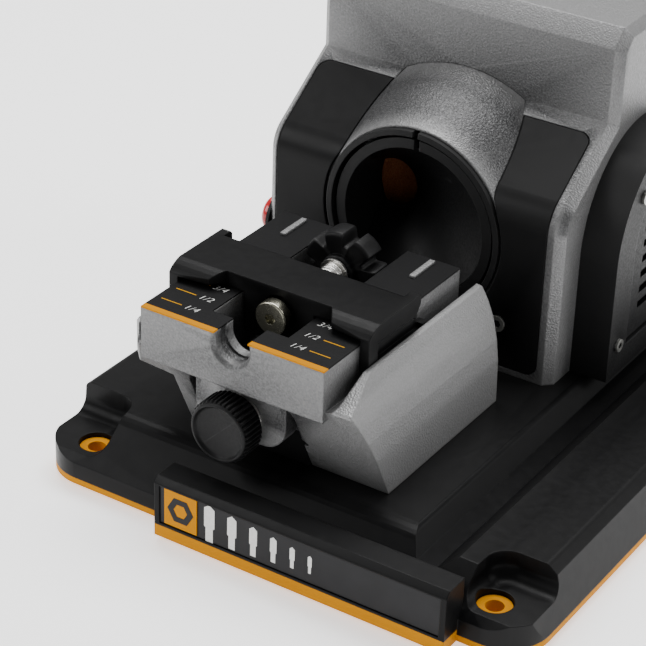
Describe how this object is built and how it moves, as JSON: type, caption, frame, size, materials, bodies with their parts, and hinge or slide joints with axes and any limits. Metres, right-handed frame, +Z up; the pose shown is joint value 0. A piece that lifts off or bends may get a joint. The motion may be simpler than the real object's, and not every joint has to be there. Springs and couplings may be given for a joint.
{
  "type": "drill bit sharpener",
  "caption": "Bench drill bit sharpener: enclosed grinding wheel behind a round port, with a sliding setting block, length stop and feed knob on a flanged base.",
  "frame": {"origin": "centre of the underside of the feet", "axes": "+X to the operator's right, +Y from the operator to the back, +Z up"},
  "size_m": [0.28, 0.346, 0.214],
  "materials": {
    "black_paint": "satin black enamel on a casting",
    "grey_paint": "grey casting with a fine bead texture",
    "orange_paint": "satin orange enamel",
    "scale_black": "black anodised plate",
    "label_black": "printed label",
    "black_plastic": "moulded, matt",
    "rubber": "matt",
    "bright_steel": "turned and bright",
    "dark_steel": "black oxide",
    "nickel": "nickel plate",
    "abrasive": "bonded abrasive grit",
    "red_plastic": "glossy red",
    "laminations": "stacked steel sheet"
  },
  "bodies": {
    "base": {"base_deck": "black_paint", "under_tray": "orange_paint", "rubber_feet": "rubber", "tray_screws": "dark_steel", "name_plate": "label_black", "badge": "orange_paint", "dovetail_key": "black_paint", "key_screws": "dark_steel", "head_casting": "grey_paint", "front_panel": "black_paint", "panel_screws": "dark_steel", "head_screws": "dark_steel", "port_barrel": "grey_paint", "port_collar": "black_plastic", "port_liner": "black_plastic", "port_guide": "black_plastic", "stator": "laminations", "motor_housing": "black_paint", "shaft_bearings": "bright_steel", "motor_cover": "black_plastic", "cover_grille": "black_plastic", "cover_screws": "dark_steel", "button_bezel": "black_plastic", "switch_body": "black_plastic", "rear_cover": "black_paint", "rear_screws": "dark_steel", "power_inlet": "black_plastic"},
    "block": {"setting_block": "grey_paint", "scale_plate_left": "scale_black", "scale_plate_right": "scale_black", "edge_strips": "orange_paint", "rest_ribs": "grey_paint"},
    "feed": {"feed_knob": "black_plastic", "feed_washer": "bright_steel", "feed_screw": "bright_steel"},
    "carriage": {"carriage": "black_paint", "adjuster_spring": "bright_steel"},
    "stop_travel": {"adjuster_washer": "bright_steel"},
    "stop": {"star_knob": "black_plastic", "adjuster_screw": "bright_steel", "stop_button": "nickel"},
    "button": {"power_button": "red_plastic"},
    "drive": {"grinding_wheel": "abrasive", "wheel_flanges": "bright_steel", "wheel_nut": "bright_steel", "motor_shaft": "bright_steel", "rotor": "laminations", "cooling_fan": "black_plastic"}
  },
  "joints": [
    {"name": "block_slide", "type": "slide", "parent": "base", "child": "block", "axis": [0, 1, 0], "range_m": [-0.0301, 0.00205]},
    {"name": "feed_turn", "type": "hinge", "parent": "block", "child": "feed", "pos_m": [-0.0317, -0.15, 0.0615], "axis": [0, 1, 0], "range_deg": [-8700, 600]},
    {"name": "carriage_slide", "type": "slide", "parent": "block", "child": "carriage", "axis": [0, 1, 0], "range_m": [-0.0155, 0.012]},
    {"name": "stop_slide", "type": "slide", "parent": "carriage", "child": "stop_travel", "axis": [0, 1, 0], "range_m": [-0.00305, 0.00305], "deforming": ["adjuster_spring"]},
    {"name": "stop_turn", "type": "hinge", "parent": "stop_travel", "child": "stop", "pos_m": [-0.0317, -0.05, 0.104], "axis": [0, 1, 0], "range_deg": [-740, 740]},
    {"name": "button_press", "type": "slide", "parent": "base", "child": "button", "axis": [1, 0, 0], "range_m": [0, 0.003], "stiffness_N_per_m": 400, "springref_m": -0.001},
    {"name": "drive_spin", "type": "hinge", "parent": "base", "child": "drive", "pos_m": [0, 0.097, 0.104], "axis": [1, 0, 0], "continuous": true}
  ],
  "couplings": [
    {"joint": "feed_turn", "follows": "block_slide", "rad_per_m": 5026.5},
    {"joint": "stop_turn", "follows": "stop_slide", "rad_per_m": 4188.8}
  ]
}
